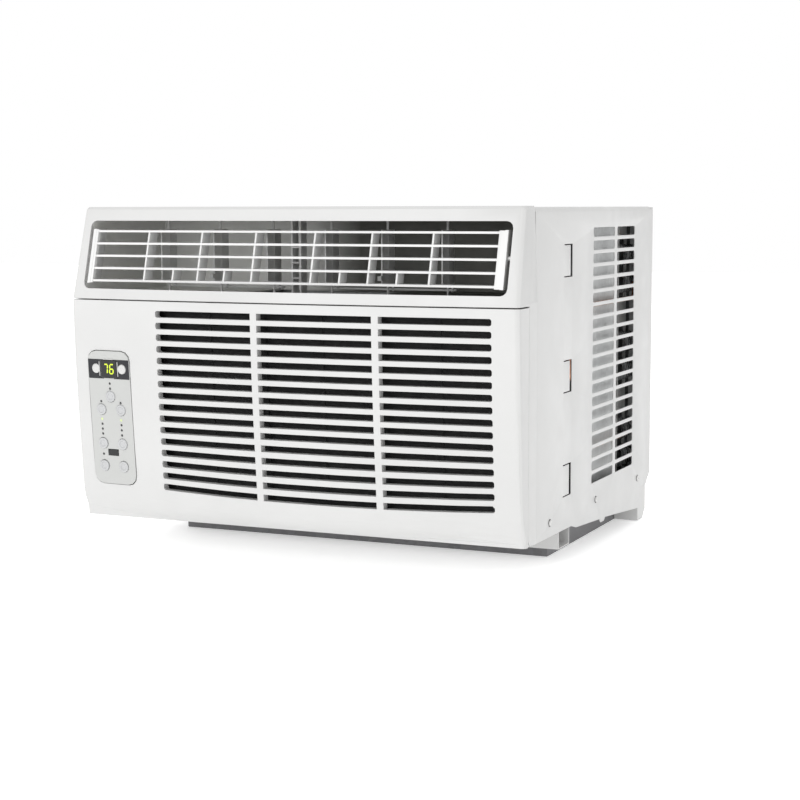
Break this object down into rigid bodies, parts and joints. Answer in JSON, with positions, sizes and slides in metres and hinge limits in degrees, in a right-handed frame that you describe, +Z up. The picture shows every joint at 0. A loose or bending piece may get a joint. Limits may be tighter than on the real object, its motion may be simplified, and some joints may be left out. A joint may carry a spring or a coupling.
{
  "type": "window air conditioner",
  "caption": "Window air conditioner: steel cabinet, tilting intake grille with filter, tilting louvre with linked vanes, push buttons, and a fan, compressor and coil set inside.",
  "frame": {"origin": "centre of the footprint, at the height of the feet", "axes": "+X to the right seen from the room, +Y towards the outdoors, +Z up"},
  "size_m": [0.6, 0.569, 0.44],
  "materials": {
    "cabinet_paint": "satin",
    "front_plastic": "satin",
    "louvre_plastic": "satin",
    "grey_plastic": "matt",
    "filter_net": "matt",
    "foam_strip": "matt",
    "panel_overlay": "satin",
    "display_lens": "gloss",
    "white_button": "satin",
    "silver_button": "gloss",
    "circuit_board": "matt",
    "galvanised_steel": "satin",
    "scroll_foam": "matt",
    "black_plastic": "matt",
    "motor_shell": "satin",
    "bare_steel": "satin",
    "evaporator_fins": "satin",
    "condenser_fins": "matt",
    "compressor_paint": "satin",
    "rubber_mount": "matt",
    "copper": "satin",
    "capacitor_can": "satin"
  },
  "bodies": {
    "chassis": {"base_pan": "cabinet_paint", "front_rail": "cabinet_paint", "cabinet_wrap": "cabinet_paint", "rear_panel": "cabinet_paint", "cabinet_screw_left_1": "galvanised_steel", "cabinet_screw_left_2": "galvanised_steel", "cabinet_screw_left_3": "galvanised_steel", "cabinet_screw_right_1": "galvanised_steel", "cabinet_screw_right_2": "galvanised_steel", "cabinet_screw_right_3": "galvanised_steel", "front_frame": "front_plastic", "discharge_duct": "grey_plastic", "duct_pillar": "louvre_plastic", "foam_strip": "foam_strip", "control_panel": "panel_overlay", "display_window": "display_lens", "receiver_window": "display_lens", "control_housing": "grey_plastic", "control_board": "circuit_board", "bulkhead": "galvanised_steel", "blower_scroll": "scroll_foam", "fan_motor": "motor_shell", "motor_bracket": "galvanised_steel", "fan_shroud": "galvanised_steel", "evaporator_coil": "evaporator_fins", "condenser_coil": "condenser_fins", "condenser_end_plate": "galvanised_steel", "compressor": "compressor_paint", "compressor_mount_1": "rubber_mount", "compressor_mount_2": "rubber_mount", "compressor_mount_3": "rubber_mount", "accumulator": "compressor_paint", "discharge_tube": "copper", "suction_tube": "copper", "capillary_tube": "copper", "electrical_box": "galvanised_steel", "run_capacitor": "capacitor_can"},
    "grille": {"intake_grille": "front_plastic", "air_filter": "filter_net"},
    "louvre": {"louvre_frame": "louvre_plastic"},
    "vane_1_body": {"vane_1": "louvre_plastic"},
    "vane_2_body": {"vane_2": "louvre_plastic"},
    "vane_3_body": {"vane_3": "louvre_plastic"},
    "vane_4_body": {"vane_4": "louvre_plastic"},
    "vane_5_body": {"vane_5": "louvre_plastic"},
    "vane_6_body": {"vane_6": "louvre_plastic"},
    "link_left_body": {"vane_link_left": "louvre_plastic"},
    "link_right_body": {"vane_link_right": "louvre_plastic"},
    "rotor": {"fan_shaft": "bare_steel", "blower_wheel": "black_plastic", "condenser_fan": "black_plastic"},
    "temp_down_button_body": {"temp_down_button": "white_button"},
    "temp_up_button_body": {"temp_up_button": "white_button"},
    "filter_button_body": {"filter_button": "silver_button"},
    "sleep_button_body": {"sleep_button": "silver_button"},
    "energy_button_body": {"energy_button": "silver_button"},
    "fan_button_body": {"fan_button": "silver_button"},
    "mode_button_body": {"mode_button": "silver_button"},
    "timer_button_body": {"timer_button": "silver_button"},
    "power_button_body": {"power_button": "silver_button"}
  },
  "joints": [
    {"name": "grille_tilt", "type": "hinge", "parent": "chassis", "child": "grille", "pos_m": [0, -0.2375, 0.0505], "axis": [1, 0, 0], "range_deg": [0, 50]},
    {"name": "louvre_tilt", "type": "hinge", "parent": "chassis", "child": "louvre", "pos_m": [0, -0.2475, 0.3805], "axis": [1, 0, 0], "range_deg": [-18, 18]},
    {"name": "vane_1_swing", "type": "hinge", "parent": "chassis", "child": "vane_1_body", "pos_m": [-0.202, -0.195, 0.38], "axis": [0, 0, 1], "range_deg": [-35, 35]},
    {"name": "vane_2_swing", "type": "hinge", "parent": "chassis", "child": "vane_2_body", "pos_m": [-0.126, -0.195, 0.38], "axis": [0, 0, 1], "range_deg": [-35, 35]},
    {"name": "vane_3_swing", "type": "hinge", "parent": "chassis", "child": "vane_3_body", "pos_m": [-0.051, -0.195, 0.38], "axis": [0, 0, 1], "range_deg": [-35, 35]},
    {"name": "vane_4_swing", "type": "hinge", "parent": "chassis", "child": "vane_4_body", "pos_m": [0.029, -0.195, 0.38], "axis": [0, 0, 1], "range_deg": [-35, 35]},
    {"name": "vane_5_swing", "type": "hinge", "parent": "chassis", "child": "vane_5_body", "pos_m": [0.104, -0.195, 0.38], "axis": [0, 0, 1], "range_deg": [-35, 35]},
    {"name": "vane_6_swing", "type": "hinge", "parent": "chassis", "child": "vane_6_body", "pos_m": [0.182, -0.195, 0.38], "axis": [0, 0, 1], "range_deg": [-35, 35]},
    {"name": "link_left_swing", "type": "hinge", "parent": "vane_2_body", "child": "link_left_body", "pos_m": [-0.126, -0.1805, 0.34], "axis": [0, 0, 1], "range_deg": [-35, 35]},
    {"name": "link_right_swing", "type": "hinge", "parent": "vane_5_body", "child": "link_right_body", "pos_m": [0.104, -0.1805, 0.34], "axis": [0, 0, 1], "range_deg": [-35, 35]},
    {"name": "rotor_spin", "type": "hinge", "parent": "chassis", "child": "rotor", "pos_m": [0.03, 0, 0.2], "axis": [0, 1, 0], "continuous": true},
    {"name": "temp_down_press", "type": "slide", "parent": "chassis", "child": "temp_down_button_body", "axis": [0.0758, 0.9945, 0.0718], "range_m": [0, 0.0012], "stiffness_N_per_m": 350},
    {"name": "temp_up_press", "type": "slide", "parent": "chassis", "child": "temp_up_button_body", "axis": [0.0758, 0.9945, 0.0718], "range_m": [0, 0.0012], "stiffness_N_per_m": 350},
    {"name": "filter_press", "type": "slide", "parent": "chassis", "child": "filter_button_body", "axis": [0.0758, 0.9945, 0.0718], "range_m": [0, 0.0012], "stiffness_N_per_m": 350},
    {"name": "sleep_press", "type": "slide", "parent": "chassis", "child": "sleep_button_body", "axis": [0.0758, 0.9945, 0.0718], "range_m": [0, 0.0012], "stiffness_N_per_m": 350},
    {"name": "energy_press", "type": "slide", "parent": "chassis", "child": "energy_button_body", "axis": [0.0758, 0.9945, 0.0718], "range_m": [0, 0.0012], "stiffness_N_per_m": 350},
    {"name": "fan_press", "type": "slide", "parent": "chassis", "child": "fan_button_body", "axis": [0.0758, 0.9945, 0.0718], "range_m": [0, 0.0012], "stiffness_N_per_m": 350},
    {"name": "mode_press", "type": "slide", "parent": "chassis", "child": "mode_button_body", "axis": [0.0758, 0.9945, 0.0718], "range_m": [0, 0.0012], "stiffness_N_per_m": 350},
    {"name": "timer_press", "type": "slide", "parent": "chassis", "child": "timer_button_body", "axis": [0.0758, 0.9945, 0.0718], "range_m": [0, 0.0012], "stiffness_N_per_m": 350},
    {"name": "power_press", "type": "slide", "parent": "chassis", "child": "power_button_body", "axis": [0.0758, 0.9945, 0.0718], "range_m": [0, 0.0012], "stiffness_N_per_m": 350}
  ],
  "couplings": [
    {"joint": "vane_1_swing", "follows": "vane_2_swing", "ratio": 1},
    {"joint": "vane_3_swing", "follows": "vane_2_swing", "ratio": 1},
    {"joint": "vane_4_swing", "follows": "vane_5_swing", "ratio": 1},
    {"joint": "vane_6_swing", "follows": "vane_5_swing", "ratio": 1},
    {"joint": "link_left_swing", "follows": "vane_2_swing", "ratio": -1},
    {"joint": "link_right_swing", "follows": "vane_5_swing", "ratio": -1}
  ]
}
